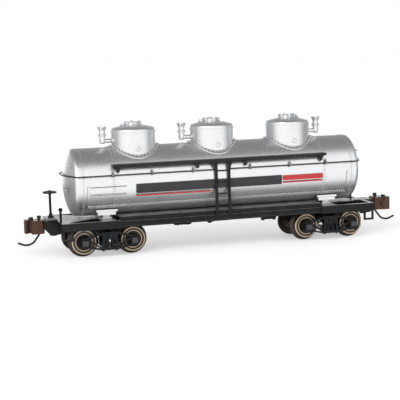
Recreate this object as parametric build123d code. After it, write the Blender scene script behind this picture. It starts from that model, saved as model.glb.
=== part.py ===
from build123d import *
import math
import os

# Model tank wagon, 1:160 scale on 9 mm gauge track. Millimetres, +Z up.
# +X runs along the wagon, -Y is the front side, z = 0 is the bottom of the wheel flanges.

# ---- driving dimensions ----
TREAD_R = 2.65           # 33 inch wheel at 1:160
FLANGE_DEPTH = 0.65
AXLE_Z = TREAD_R + FLANGE_DEPTH
BOGIE_X = 25.06          # bogie centre from the wagon's middle
WHEELBASE = 10.63
WHEEL_BACK_Y = 3.75      # half of the back-to-back distance
WHEEL_FACE_Y = 5.70

TANK_R = 7.25
TANK_Z = 15.55           # height of the tank's centre line
SHEET = 0.07             # step where one tank sheet laps over another
TANK_WALL = 0.95
BARREL_HALF = 30.5
COURSE_X = 23.93         # seam between the middle and end courses
HEAD_CROWN_X = 33.35
KNUCKLE_R = 1.2
LAP_Z = 11.1             # lower edge of the side sheets

DOME_SPACING = 17.65
DOME_R = 4.92
DOME_WALL = 0.7
DOME_RIM_Z = 26.15       # where the rounding starts
DOME_CROWN_Z = 27.45
RIM_ROUND = 0.6
FLANGE_W = 0.65

VALVE_OFFSET = 6.85      # valve's upright from the dome's centre
VALVE_PIPE_Z = 24.04

WALK_TOP = 19.53
WALK_T = 0.5
WALK_Y = 7.89
WALK_HALF = 23.98
BRACKET_X = (-22.8, -5.4, 5.4, 22.8)

RAIL_Z = 17.34
RAIL_Y = 7.58
RAIL_R = 0.14
POST_X = (-23.93, -15.5, -6.4, 6.4, 15.5, 23.93)
LADDER_X = 1.43
LADDER_Y = 7.6
RUNG_Z = (17.03, 14.55, 12.06, 9.57)

DECK_Z = 7.75            # top of the end decks and bolsters
SILL_BOTTOM = 6.2
SILL_BREAK = 22.6        # the side sills stand proud and higher beyond this
MID_SILL_TOP = 7.5
MID_DECK_TOP = 8.4       # plates beside the tank, between the bogies
MID_DECK_Y = 7.2
CROSSBEARER_X = (-17.65, -5.2, 5.2, 17.65)
DECK_T = 0.3
END_SILL_T = 0.85
DECK_HALF = 2.6          # centre strip of the end decks
FRAME_END = 35.25
FRAME_Y = 7.9
CENTRE_SILL_Y = 1.7
CENTRE_SILL_BOTTOM = 5.6

PIVOT_X = 35.9           # coupler pivot
POCKET_START = 34.25
POCKET_END = 37.6
POCKET_Y = 2.0
POCKET_WALL = 0.42
COUPLER_Z = 6.55
COUPLER_HALF_H = 1.45
KNUCKLE_PIN = (40.5, -1.0)
TRIP_PIN_X = 38.9

POCKET_FLOOR = 5.75
POCKET_ROOF = 7.3
POCKET_POST_R = 0.75
POCKET_SCREW_R = 0.42
KNUCKLE_PIN_R = 0.24
KNUCKLE_TRAVEL = 25      # degrees, opening outwards
TONGUE_BACK = 38.5       # rear end of the knuckle's tongue slot
TRIP_R = 0.225

BOGIE_TOP = 5.25         # centre pad under the bolster
KINGPIN_R = 0.6
AXLE_SEAT_R = 0.55
TANK_SCREW_X = 9.0
TANK_SCREW_R = 0.5

STAFF = (-36.1, 1.7)     # brake staff in plan
STAFF_R = 0.27
STAFF_FOOT = DECK_Z - 0.3
BRAKE_WHEEL_Z = 13.4

RUN_CLEARANCE = 0.06     # shaft in hole, each side

TANK_BORE = TANK_R - TANK_WALL
SHEET_R = TANK_R + SHEET
TANK_AXIS = Axis((0, 0, TANK_Z), (1, 0, 0))
SIDES = (-1, 1)
ENDS = (("left", -1), ("right", 1))


# ---- small builders ----
def block(x0, x1, y0, y1, z0, z1):
    """A box between two corners."""
    solid = Box(abs(x1 - x0), abs(y1 - y0), abs(z1 - z0))
    return Pos((x0 + x1) / 2, (y0 + y1) / 2, (z0 + z1) / 2) * solid


def rod_x(x0, x1, y, z, r):
    return Pos((x0 + x1) / 2, y, z) * Rot(0, 90, 0) * Cylinder(r, abs(x1 - x0))


def rod_y(y0, y1, x, z, r):
    return Pos(x, (y0 + y1) / 2, z) * Rot(90, 0, 0) * Cylinder(r, abs(y1 - y0))


def rod_z(z0, z1, x, y, r):
    return Pos(x, y, (z0 + z1) / 2) * Cylinder(r, abs(z1 - z0))


def prism_z(points, z0, z1):
    """An outline in plan, raised from z0 to z1."""
    return Pos(0, 0, z0) * extrude(make_face(Polyline(*points, close=True)), z1 - z0, dir=(0, 0, 1))


def prism_y(points, y0, y1):
    """An outline in side view (x, z), drawn through from y0 to y1."""
    face = make_face(Polyline(*[(x, y0, z) for x, z in points], close=True))
    return extrude(face, y1 - y0, dir=(0, 1, 0))


def prism_x(points, x0, x1):
    """An outline in end view (y, z), drawn through from x0 to x1."""
    face = make_face(Polyline(*[(x0, y, z) for y, z in points], close=True))
    return extrude(face, x1 - x0, dir=(1, 0, 0))


def turned(points, axis):
    """A straight-sided outline turned about an axis."""
    return revolve(make_face(Polyline(*points, close=True)), axis=axis)


def wire(points, radii, r):
    """Round wire along straight runs joined by arcs."""
    path = FilletPolyline(*points, radius=radii)
    section = Plane(origin=path @ 0, z_dir=path % 0) * Circle(r)
    return sweep(section, path=path)


def end_for_end(shape):
    """The same piece at the wagon's other end."""
    return Rot(0, 0, 180) * shape


def placed(shape, end):
    """A right-hand piece, put at the end asked for."""
    return shape if end > 0 else end_for_end(shape)


def tank_cylinder(r, half):
    return Pos(0, 0, TANK_Z) * Rot(0, 90, 0) * Cylinder(r, 2 * half)


def save(shapes, name):
    """Write one node; a list stays a group of separate solids."""
    group = shapes if isinstance(shapes, list) else [shapes]
    solids = [solid for shape in group for solid in shape.solids()]
    export_step(solids[0] if len(solids) == 1 else Compound(children=solids), f"parts/{name}.step")


# ---- tank ----
def tank_barrel():
    """Three riveted courses with a bottom sheet, screw bosses below and a rib near each end."""
    barrel = tank_cylinder(TANK_R, BARREL_HALF) + tank_cylinder(SHEET_R, COURSE_X)
    bottom = tank_cylinder(SHEET_R, BARREL_HALF) & block(-40, 40, -8, 8, 0, LAP_Z)
    barrel += bottom
    rib_half, rib_x = 0.22, 29.2
    for x in (-rib_x, rib_x):
        rib = tank_cylinder(TANK_R + 0.28, BARREL_HALF) & block(
            x - rib_half, x + rib_half, -8, 8, 11.75, 15.2
        )
        barrel += rib
    for x in SIDES:
        barrel += rod_z(DECK_Z, 9.6, x * TANK_SCREW_X, 0, 1.4)
    barrel -= tank_cylinder(TANK_BORE, BARREL_HALF + 1)
    for x in SIDES:
        barrel += rod_z(DECK_Z + 1, 10.4, x * TANK_SCREW_X, 0, 1.4)
        barrel -= rod_z(0, 11, x * TANK_SCREW_X, 0, TANK_SCREW_R)
    return barrel


def dish(start, crown_at, r, knuckle):
    """Dished end along an axis: its crown radius and (along, radius) points of the two arcs."""
    rise, reach = crown_at - start, r - knuckle
    # crown radius whose sphere is tangent to the knuckle arc
    crown = (rise * rise + reach * reach - knuckle * knuckle) / (2 * (rise - knuckle))
    centre = crown_at - crown
    angle = math.atan2(reach, start - centre)
    middle = (math.pi / 2 + angle) / 2
    knuckle_mid = (start + knuckle * math.cos(middle), reach + knuckle * math.sin(middle))
    tangent = (centre + crown * math.cos(angle), crown * math.sin(angle))
    crown_mid = (centre + crown * math.cos(angle / 2), crown * math.sin(angle / 2))
    return crown, knuckle_mid, tangent, crown_mid


def dished_face(base, start, crown_at, r, knuckle, place):
    """Half section of a dished cylinder; place turns (along, radius) into a point."""
    _, knuckle_mid, tangent, crown_mid = dish(start, crown_at, r, knuckle)
    return make_face([
        Line(place(base, 0), place(base, r)),
        Line(place(base, r), place(start, r)),
        ThreePointArc(place(start, r), place(*knuckle_mid), place(*tangent)),
        ThreePointArc(place(*tangent), place(*crown_mid), place(crown_at, 0)),
        Line(place(crown_at, 0), place(base, 0)),
    ])


def tank_head():
    """Dished shell with a spigot inside the barrel."""
    def place(along, radius):
        return (along, 0, TANK_Z + radius)

    start = BARREL_HALF + 0.45
    outer = revolve(dished_face(BARREL_HALF, start, HEAD_CROWN_X, TANK_R, KNUCKLE_R, place), axis=TANK_AXIS)
    spigot = rod_x(BARREL_HALF - 1.4, BARREL_HALF, 0, TANK_Z, TANK_BORE)
    hollow = rod_x(BARREL_HALF - 2, BARREL_HALF + 0.3, 0, TANK_Z, TANK_BORE - 0.8)
    hollow += rod_x(BARREL_HALF, BARREL_HALF + 1.2, 0, TANK_Z, TANK_BORE - 2.2)
    return outer + spigot - hollow


def dome(x):
    """Drum with a rounded rim, a low crown and a flange that follows the tank."""
    def place(along, radius):
        return (x + radius, 0, along)

    section = dished_face(TANK_Z, DOME_RIM_Z, DOME_CROWN_Z, DOME_R, RIM_ROUND, place)
    drum = revolve(section, axis=Axis((x, 0, 0), (0, 0, 1)))
    flange = rod_z(TANK_Z, DOME_RIM_Z, x, 0, DOME_R + FLANGE_W) & tank_cylinder(SHEET_R + 0.14, BARREL_HALF)
    solid = drum + flange - tank_cylinder(SHEET_R, BARREL_HALF)
    return solid - rod_z(TANK_Z, DOME_RIM_Z - DOME_WALL, x, 0, DOME_R - DOME_WALL)


def hatch(x, hinge_side):
    """Manway cover: ring, low lid, six swing-bolt lugs and a hinge."""
    cover_r, lug_count = 1.75, 6
    base = DOME_CROWN_Z - 0.12
    crown = dish(DOME_RIM_Z, DOME_CROWN_Z, DOME_R, RIM_ROUND)[0]
    cut = Pos(x, 0, DOME_CROWN_Z - crown) * Sphere(crown)
    solid = rod_z(base - 0.4, base + 0.42, x, 0, cover_r) + rod_z(base, base + 0.6, x, 0, cover_r - 0.4)
    for i in range(lug_count):
        angle = math.radians(30 + i * 360 / lug_count)
        cx, cy = x + cover_r * math.cos(angle), cover_r * math.sin(angle)
        solid += rod_z(base - 0.4, base + 0.78, cx, cy, 0.26)
    hinge_x = x + hinge_side * (cover_r + 0.7)
    solid += block(x + hinge_side * 1.2, hinge_x + hinge_side * 0.3, -0.35, 0.35, base - 0.5, base + 0.3)
    solid += rod_y(-0.7, 0.7, hinge_x, base + 0.15, 0.3)
    return solid - cut


def safety_valve(x, side):
    """Pipe out of the dome, elbow, ring and flared outlet."""
    half_pipe, body = 0.44, 0.66
    profile = [
        (0, 23.46), (0.36, 23.46), (0.58, 23.66), (body, 24.0), (body, 25.1), (0.93, 25.12), (0.93, 25.38),
        (body, 25.4), (body, 26.35), (0.98, 27.05), (0.98, 27.17), (0.8, 27.17), (0.5, 26.4), (0, 26.4),
    ]
    upright = turned([(r, 0, z) for r, z in profile], Axis.Z)
    pipe = rod_x(0.1, VALVE_OFFSET, 0, VALVE_PIPE_Z, half_pipe)
    valve = upright + (pipe - rod_z(20, 30, VALVE_OFFSET, 0, DOME_R))
    if side > 0:
        valve = end_for_end(valve)
    return Pos(x + side * VALVE_OFFSET, 0, 0) * valve


def ballast():
    """Steel bar lying in the bottom of the barrel."""
    bar = block(-21, 21, -4, 4, TANK_Z - TANK_BORE, 13.6)
    bar = bar & tank_cylinder(TANK_BORE - 0.02, 22)
    for x in SIDES:
        bar -= rod_z(0, 11.4, x * TANK_SCREW_X, 0, 1.7)
    return bar


def saddle():
    """Stepped cradle between the bolster and the tank."""
    steps = (                      # half length, half width, bottom, top
        (1.05, 4.6, DECK_Z, 8.15),
        (0.75, 4.2, 8.1, 8.7),
        (1.95, 4.8, 8.65, 9.45),
        (2.3, 5.0, 9.4, 9.85),
    )
    stack = None
    for half_x, half_y, z0, z1 in steps:
        step = block(BOGIE_X - half_x, BOGIE_X + half_x, -half_y, half_y, z0, z1)
        stack = step if stack is None else stack + step
    return stack - tank_cylinder(SHEET_R, BARREL_HALF + 1)


# ---- walkways, ladders, handrail ----
def walkway():
    """Front walkway: a plank along the tank with four brackets."""
    plank = block(-WALK_HALF, WALK_HALF, -WALK_Y, -5.0, WALK_TOP - WALK_T, WALK_TOP)
    under = WALK_TOP - WALK_T
    for x in BRACKET_X:
        outline = [(x - 0.5, under), (x + 0.5, under), (x + 0.22, under - 1.15), (x - 0.22, under - 1.15)]
        plank += prism_y(outline, -7.5, -6.0)
    return plank - tank_cylinder(SHEET_R, BARREL_HALF)


def ladder():
    """Front ladder from the side sill to the walkway, with flared tops."""
    top, half_w, half_t = WALK_TOP - WALK_T, 0.31, 0.2
    shape = None
    for side in SIDES:
        x = side * LADDER_X
        stile = block(x - half_w, x + half_w, -LADDER_Y - half_t, -LADDER_Y + half_t, MID_SILL_TOP, top)
        flare = [(x - half_w, top), (x + half_w, top), (x + half_w, top - 1.6), (x - half_w, top - 1.6)]
        outer = 0 if side < 0 else 1
        flare[outer] = (flare[outer][0] + side * 0.55, top)
        stile += prism_y(flare, -LADDER_Y - half_t, -LADDER_Y + half_t)
        shape = stile if shape is None else shape + stile
    for z in RUNG_Z:
        shape += rod_x(-LADDER_X, LADDER_X, -LADDER_Y, z, 0.16)
    return shape


def handrail():
    """Right half: from the front ladder, round the tank end, to the rear ladder."""
    start = LADDER_X + 0.31
    corner, bulge = 31.7, 33.75
    points = [
        (start, -RAIL_Y, RAIL_Z), (corner, -RAIL_Y, RAIL_Z), (bulge, -2.6, RAIL_Z),
        (bulge, 2.6, RAIL_Z), (corner, RAIL_Y, RAIL_Z), (start, RAIL_Y, RAIL_Z),
    ]
    return wire(points, [1.3, 4.0, 4.0, 1.3], RAIL_R)


def handrail_post(x, side):
    """Short arm from the tank with a ring round the rail and a lug above it."""
    ring_half, ring_r = 0.24, 0.34
    arm = rod_y(side * (RAIL_Y - 0.3), side * 6.4, x, RAIL_Z, 0.22)
    ring = rod_x(x - ring_half, x + ring_half, side * RAIL_Y, RAIL_Z, ring_r)
    lug = block(x - 0.17, x + 0.17, side * 7.2, side * 7.45, RAIL_Z, RAIL_Z + 0.85)
    post = arm + ring + lug - rod_x(x - 1, x + 1, side * RAIL_Y, RAIL_Z, RAIL_R + 0.02)
    return post - tank_cylinder(SHEET_R, BARREL_HALF)


# ---- underframe ----


def side_sill(side):
    """Channel section, lower and set back between the bogies, with the deck plate beside it."""
    y_web = side * (FRAME_Y - 0.45)
    y_in = side * (FRAME_Y - 0.8)
    flange = 0.28
    sill = block(-FRAME_END, FRAME_END, y_in, y_web, SILL_BOTTOM, MID_SILL_TOP)
    for z0 in (SILL_BOTTOM, MID_SILL_TOP - flange):
        sill += block(-FRAME_END, FRAME_END, y_in, side * (FRAME_Y - 0.15), z0, z0 + flange)
    for end in SIDES:
        sill += block(
            end * SILL_BREAK, end * FRAME_END, y_in, side * FRAME_Y, SILL_BOTTOM - 0.15, DECK_Z
        )
    plate = [
        (side * 1.6, MID_SILL_TOP - 0.1), (side * MID_DECK_Y, MID_SILL_TOP - 0.1),
        (side * MID_DECK_Y, MID_DECK_TOP), (side * 1.8, MID_DECK_TOP),
        (side * 1.8, DECK_Z), (side * 1.6, DECK_Z),
    ]
    return sill + prism_x(plate, -SILL_BREAK - 0.1, SILL_BREAK + 0.1)


def end_deck(end):
    """Strip over the centre sill; on the left it reaches the end sill, with a gusset on each side."""
    start, right_stop, gusset_start, edge = 26.5, 32.6, 28.2, 7.2
    stop = FRAME_END if end < 0 else right_stop
    shape = block(end * start, end * stop, -DECK_HALF, DECK_HALF, DECK_Z - DECK_T, DECK_Z)
    if end < 0:
        for side in SIDES:
            gusset = [
                (-FRAME_END, side * edge), (-FRAME_END + 1.2, side * edge),
                (-gusset_start, side * DECK_HALF), (-FRAME_END, side * DECK_HALF),
            ]
            shape += prism_z(gusset, DECK_Z - DECK_T, DECK_Z)
    return shape


def end_frame():
    """Right end: end sill and the coupler pocket with its pivot post."""
    shape = block(FRAME_END - END_SILL_T, FRAME_END, -FRAME_Y, FRAME_Y, SILL_BOTTOM - 0.15, DECK_Z)
    shape += block(POCKET_START, POCKET_END, -POCKET_Y, POCKET_Y, POCKET_FLOOR, DECK_Z)
    inside_y = POCKET_Y - POCKET_WALL
    shape -= block(POCKET_START + 0.3, POCKET_END + 1, -inside_y, inside_y, POCKET_FLOOR - 1, POCKET_ROOF)
    shape += rod_z(POCKET_FLOOR, POCKET_ROOF + 0.1, PIVOT_X, 0, POCKET_POST_R)
    return shape


def underframe():
    frame = block(-POCKET_START, POCKET_START, -CENTRE_SILL_Y, CENTRE_SILL_Y, CENTRE_SILL_BOTTOM, DECK_Z)
    for side in SIDES:
        frame += side_sill(side)
    for x in CROSSBEARER_X:
        frame += block(x - 0.35, x + 0.35, -7.15, 7.15, 6.55, DECK_Z)
    for end in SIDES:
        bolster = [(-7.3, DECK_Z), (7.3, DECK_Z), (7.3, 6.3), (2.2, 5.85), (-2.2, 5.85), (-7.3, 6.3)]
        frame += prism_x(bolster, end * BOGIE_X - 1.6, end * BOGIE_X + 1.6)
        frame += rod_z(BOGIE_TOP + 0.05, 6.0, end * BOGIE_X, 0, 1.9)
    for end in SIDES:
        frame += placed(end_frame(), end)
        frame += end_deck(end)
        frame -= rod_z(0, 7.3, end * BOGIE_X, 0, KINGPIN_R)
        frame -= rod_z(0, 7.2, end * PIVOT_X, 0, POCKET_SCREW_R)
        frame -= rod_z(0, 9, end * TANK_SCREW_X, 0, TANK_SCREW_R)
    frame -= rod_z(STAFF_FOOT, DECK_Z + 1, *STAFF, STAFF_R)
    return frame


def screw(x, z_head, z_tip, r, head_r, head_t, y=0.0):
    """Pan-head screw seen from below, with a driver slot."""
    body = rod_z(z_head, z_head + head_t, x, y, head_r) + rod_z(z_head, z_tip, x, y, r)
    slot = block(x - head_r, x + head_r, y - 0.12, y + 0.12, z_head - 1, z_head + head_t * 0.45)
    return body - slot


def pocket_lid():
    """Right pocket lid, bevelled at the front, with a hole for its screw."""
    bottom = 4.75
    outline = [
        (POCKET_START, POCKET_FLOOR), (POCKET_END, POCKET_FLOOR), (POCKET_END, POCKET_FLOOR - 0.2),
        (POCKET_END - 0.75, bottom), (POCKET_START + 0.45, bottom), (POCKET_START, bottom + 0.45),
    ]
    return prism_y(outline, -POCKET_Y, POCKET_Y) - rod_z(0, 8, PIVOT_X, 0, POCKET_SCREW_R)


def centring_leaf(side):
    """Thin bronze leaf from the pocket wall to the side of the shank."""
    wall, near = side * 1.56, side * 0.82
    thick = side * 0.13
    points = [
        (36.75, wall), (37.0, wall), (37.5, near + thick),
        (37.5, near), (36.95, wall - thick), (36.75, wall - thick),
    ]
    return prism_z(points, COUPLER_Z - 0.45, COUPLER_Z + 0.45)


def brake_platform():
    """Board on the left pocket for reaching the brake wheel."""
    board = block(-37.5, -FRAME_END, -2.6, 4.6, DECK_Z, DECK_Z + 0.25)
    for y in (2.9, 4.1):
        board += prism_y([(-FRAME_END, DECK_Z), (-36.9, DECK_Z), (-FRAME_END, 6.6)], y - 0.15, y + 0.15)
    return board - rod_z(0, 12, STAFF[0], STAFF[1], STAFF_R)


def brake_staff():
    """Upright staff with a ratchet boss on the platform."""
    staff = rod_z(STAFF_FOOT, BRAKE_WHEEL_Z, *STAFF, STAFF_R)
    boss = rod_z(DECK_Z + 0.25, DECK_Z + 0.7, STAFF[0], STAFF[1], 0.62)
    collar = rod_z(DECK_Z + 0.7, DECK_Z + 1.15, STAFF[0], STAFF[1], 0.42)
    return staff + boss + collar


def brake_wheel():
    """Dished handwheel with five spokes, level on top of the staff."""
    x, y = STAFF
    rim = Pos(x, y, BRAKE_WHEEL_Z + 0.1) * Torus(1.36, 0.19)
    hub = rod_z(BRAKE_WHEEL_Z - 0.25, BRAKE_WHEEL_Z + 0.38, x, y, 0.42)
    spokes = 5
    wheel = rim + hub
    for i in range(spokes):
        arm = block(0.35, 1.3, -0.14, 0.14, -0.1, 0.1)
        wheel += Pos(x, y, BRAKE_WHEEL_Z + 0.1) * Rot(0, 0, i * 360 / spokes) * arm
    return wheel - rod_z(0, BRAKE_WHEEL_Z, x, y, STAFF_R)


def brake_cylinder():
    """Cylinder with end flanges and a foot on the centre sill."""
    y, z = -4.1, 6.15
    body = rod_x(9.9, 12.9, y, z, 1.0)
    for x in (9.9, 12.5):
        body += rod_x(x, x + 0.35, y, z, 1.2)
    body += rod_x(9.4, 9.9, y, z, 0.45)
    return body + block(10.6, 12.2, y + 0.6, -CENTRE_SILL_Y, z - 0.3, z + 0.35)


def air_reservoir():
    """Round-ended tank with two straps and a foot on the centre sill."""
    y, z = -4.1, 6.25
    body = rod_x(-10.4, -6.3, y, z, 0.95)
    body = fillet(body.edges().filter_by(GeomType.CIRCLE), 0.45)
    for x in (-9.6, -7.3):
        body += rod_x(x, x + 0.3, y, z, 1.03)
    return body + block(-9.0, -7.7, y + 0.5, -CENTRE_SILL_Y, z - 0.3, z + 0.35)


def brake_levers():
    """Valve body on the centre sill with the lever and pull rods."""
    body = block(-2.9, -1.3, -4.6, -CENTRE_SILL_Y, 5.6, 6.5)
    body += rod_z(5.3, 5.6, -2.1, -3.9, 0.45)
    body += block(-1.4, 2.1, -3.55, -3.3, 5.5, 5.75)
    body += rod_x(-6.3, -2.9, -4.1, 6.0, 0.14)
    return body + rod_x(-1.3, 9.4, -4.1, 6.1, 0.14)


def stirrup(end, side):
    """Square-bar step below the side sill."""
    x0, x1, z0, bar = 32.85, 35.15, 3.95, 0.4
    step = block(end * x0, end * x1, side * 7.3, side * 7.7, z0, SILL_BOTTOM - 0.15)
    hole = block(end * (x0 + bar), end * (x1 - bar), side * 7, side * 8, z0 + bar, SILL_BOTTOM)
    return step - hole


def end_post():
    """Right end post with an eye and a ball top."""
    x, y = FRAME_END - 0.25, 5.0
    post = rod_z(DECK_Z, 10.35, x, y, 0.27) + Pos(x, y, 10.45) * Sphere(0.46)
    post += Pos(x, y, 9.5) * Rot(0, 90, 0) * Torus(0.42, 0.16)
    return post


# ---- bogies ----
def arch_strip(top_line, thick, side):
    """Flat bar in a bogie side, given the line of its top face."""
    underside = [(x, z - thick) for x, z in reversed(top_line)]
    return prism_y(top_line + underside, side * 6.4, side * 7.15)


def bogie_frame(cx):
    """Bolster and two arch-bar sides in one moulding."""
    shape = block(-1.35, 1.35, -6.5, 6.5, 3.95, 5.0) + rod_z(4.5, BOGIE_TOP, 0, 0, 1.9)
    shape += block(-1.3, 1.3, -6.5, 6.5, 1.75, 2.08)    # spring plank
    half_base = WHEELBASE / 2
    y_in, y_out = 6.3, 7.25
    for side in SIDES:
        # top arch bar, inverted arch bar and tie bar
        bar = 0.42
        top = [(-6.1, 4.25), (-4.7, 4.35), (-1.5, 5.35), (1.5, 5.35), (4.7, 4.35), (6.1, 4.25)]
        shape += arch_strip(top, bar, side)
        low = [(-5.2, 4.0), (-4.3, 3.9), (-1.7, 2.1), (1.7, 2.1), (4.3, 3.9), (5.2, 4.0)]
        shape += arch_strip(low, bar, side)
        tie = [(-6.0, 2.45), (-4.4, 2.45), (-1.8, 1.85), (1.8, 1.85), (4.4, 2.45), (6.0, 2.45)]
        shape += arch_strip(tie, 0.35, side)
        # columns, bolster end with its two windows, and springs
        for x in SIDES:
            shape += block(x * 1.2, x * 1.6, side * y_in, side * y_out, 1.6, 5.2)
        bolster_end = block(-1.25, 1.25, side * y_in, side * (y_out + 0.1), 3.85, 5.0)
        for x in (-0.55, 0.55):
            bolster_end -= block(x - 0.25, x + 0.25, side * (y_out - 0.25), side * 8, 4.15, 4.7)
        shape += bolster_end
        for x in (-0.6, 0.6):
            shape += rod_z(2.0, 3.9, x, side * 6.8, 0.4)
            for z in (2.35, 2.8, 3.25, 3.7):
                shape += Pos(x, side * 6.8, z) * Torus(0.38, 0.13)
        for x in (-half_base, half_base):
            box = block(x - 0.85, x + 0.85, side * (y_in - 0.1), side * 7.5, 2.4, 4.05)
            box += block(x - 0.7, x + 0.7, side * 7.4, side * 7.62, 2.65, 3.9)
            shape += box
    axis_y = [(0.47, y_in - 0.2), (0.47, y_in), (0.05, 7.02), (0, 7.02), (0, y_in - 0.2)]
    for x in (-half_base, half_base):
        for side in SIDES:
            cone = turned([(x + r, side * y, AXLE_Z) for r, y in axis_y], Axis((x, 0, AXLE_Z), (0, 1, 0)))
            shape -= cone
    shape -= rod_z(0, 8, 0, 0, KINGPIN_R + RUN_CLEARANCE)
    return Pos(cx, 0, 0) * shape


def wheel(x, side):
    """Metal wheel: flange inside, coned tread, stepped outer face."""
    bore, face, back = AXLE_SEAT_R, WHEEL_FACE_Y, WHEEL_BACK_Y
    profile = [
        (bore, back + 0.25), (1.9, back + 0.45), (2.1, back), (TREAD_R + 0.35, back),
        (TREAD_R + FLANGE_DEPTH, back + 0.22), (TREAD_R + FLANGE_DEPTH, back + 0.35),
        (TREAD_R + 0.02, back + 0.65), (TREAD_R, face - 0.1), (TREAD_R - 0.1, face),
        (2.18, face), (2.12, face - 0.3), (1.95, face - 0.3), (1.9, face - 0.05), (1.68, face - 0.05),
        (1.6, face - 0.5), (1.0, face - 0.5), (0.85, face - 0.15), (bore, face - 0.15),
    ]
    return turned([(x + r, side * y, AXLE_Z) for r, y in profile], Axis((x, 0, AXLE_Z), (0, 1, 0)))


def axle(x):
    """Moulded axle with pointed ends."""
    half = [
        (0, 6.93), (0.06, 6.9), (0.4, 6.28), (0.4, WHEEL_FACE_Y - 0.1), (AXLE_SEAT_R, WHEEL_FACE_Y - 0.1),
        (AXLE_SEAT_R, WHEEL_BACK_Y + 0.25), (0.75, WHEEL_BACK_Y + 0.25), (0.75, 3.4), (0.6, 3.1),
    ]
    outline = [(x + r, y, AXLE_Z) for r, y in half] + [(x + r, -y, AXLE_Z) for r, y in reversed(half)]
    return turned(outline, Axis((x, 0, AXLE_Z), (0, 1, 0)))


# ---- couplers (right-hand end) ----
def coupler():
    """Shank with a pivot ring, head with a guard arm and two ears for the knuckle."""
    px, py = KNUCKLE_PIN
    z0, z1 = COUPLER_Z - COUPLER_HALF_H, COUPLER_Z + COUPLER_HALF_H
    shank_z = (COUPLER_Z - 0.6, COUPLER_Z + 0.6)
    shape = rod_z(*shank_z, PIVOT_X, 0, 1.25) + block(PIVOT_X, 38.6, -0.75, 0.75, *shank_z)
    outline = [
        (37.95, -1.1), (38.3, -1.5), (40.0, -1.6), (40.0, 0.7), (40.3, 0.9), (40.75, 1.2),
        (40.7, 1.75), (39.8, 1.85), (38.4, 1.65), (37.95, 1.2),
    ]
    shape += prism_z(outline, z0, z1)
    # room for the knuckle and its tongue
    shape -= rod_z(z0 - 1, z1 + 1, px, py, 1.02)
    shape -= block(TONGUE_BACK, 40.3, -0.95, 1.3, COUPLER_Z - 0.5, COUPLER_Z + 0.5)
    for ear_z0, ear_z1 in ((z0, COUPLER_Z - 0.75), (COUPLER_Z + 0.75, z1)):
        shape += block(39.3, px, py - 0.55, py + 0.55, ear_z0, ear_z1) + rod_z(ear_z0, ear_z1, px, py, 0.62)
    # the trip pin moves along this slot when the knuckle opens
    for slot_z in (COUPLER_Z + 0.4, z0 - 0.1):
        shape -= trip_slot(slot_z, slot_z + 1.2)
    shape -= rod_z(0, 12, px, py, KNUCKLE_PIN_R)
    return shape - rod_z(0, 12, PIVOT_X, 0, POCKET_POST_R + RUN_CLEARANCE)


def trip_slot(z0, z1):
    """Room for the trip pin over the knuckle's whole travel."""
    px, py = KNUCKLE_PIN
    steps = 5
    room = None
    for i in range(steps + 1):
        turn = math.radians(-KNUCKLE_TRAVEL * i / steps)
        dx, dy = TRIP_PIN_X - px, -py
        x = px + dx * math.cos(turn) - dy * math.sin(turn)
        y = py + dx * math.sin(turn) + dy * math.cos(turn)
        hole = rod_z(z0, z1, x, y, TRIP_R + 0.1)
        room = hole if room is None else room + hole
    return room


def knuckle():
    """Hooked jaw in front of the pivot and a thin tongue behind it that carries the trip pin."""
    px, py = KNUCKLE_PIN
    z0, z1 = COUPLER_Z - COUPLER_HALF_H, COUPLER_Z + COUPLER_HALF_H
    jaw = prism_z(
        [(40.5, -1.85), (41.6, -1.85), (42.0, -1.4), (42.0, 0.05), (41.75, 0.3), (41.35, 0.2),
         (41.2, -0.35), (40.5, -0.5)],
        z0, z1,
    )
    jaw -= rod_z(z0 - 1, z1 + 1, px, py, 0.72)
    barrel = rod_z(COUPLER_Z - 0.68, COUPLER_Z + 0.68, px, py, 0.85)
    angle = math.degrees(math.atan2(-py, TRIP_PIN_X - px))
    length = math.hypot(TRIP_PIN_X - px, py)
    tongue_z = (COUPLER_Z - 0.36, COUPLER_Z + 0.36)
    tongue = Pos(px, py, 0) * Rot(0, 0, angle) * block(0, length, -0.4, 0.4, *tongue_z)
    tongue += rod_z(*tongue_z, TRIP_PIN_X, 0, 0.4)
    shape = jaw + barrel + tongue
    shape -= rod_z(0, 12, TRIP_PIN_X, 0, TRIP_R)
    return shape - rod_z(0, 12, px, py, KNUCKLE_PIN_R + 0.03)


def trip_pin():
    """Steel pin through the tongue, with a knob on top, curved forward below the coupler."""
    top, knob_r, knob_h = 8.85, 0.45, 0.6
    points = [
        (TRIP_PIN_X, 0, top - 0.1), (TRIP_PIN_X, 0, 4.9), (40.6, 0, 2.65), (42.2, 0, 2.65), (43.6, 0, 3.25),
    ]
    pin = wire(points, [1.6, 2.2, 2.0], TRIP_R)
    return pin + rod_z(top - knob_h, top, TRIP_PIN_X, 0, knob_r)


def knuckle_pin():
    px, py = KNUCKLE_PIN
    z0, z1 = COUPLER_Z - COUPLER_HALF_H - 0.1, COUPLER_Z + COUPLER_HALF_H
    return rod_z(z0, z1, px, py, KNUCKLE_PIN_R) + rod_z(z1, z1 + 0.5, px, py, 0.48)


# ---- write every node ----
os.makedirs("parts", exist_ok=True)

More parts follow.
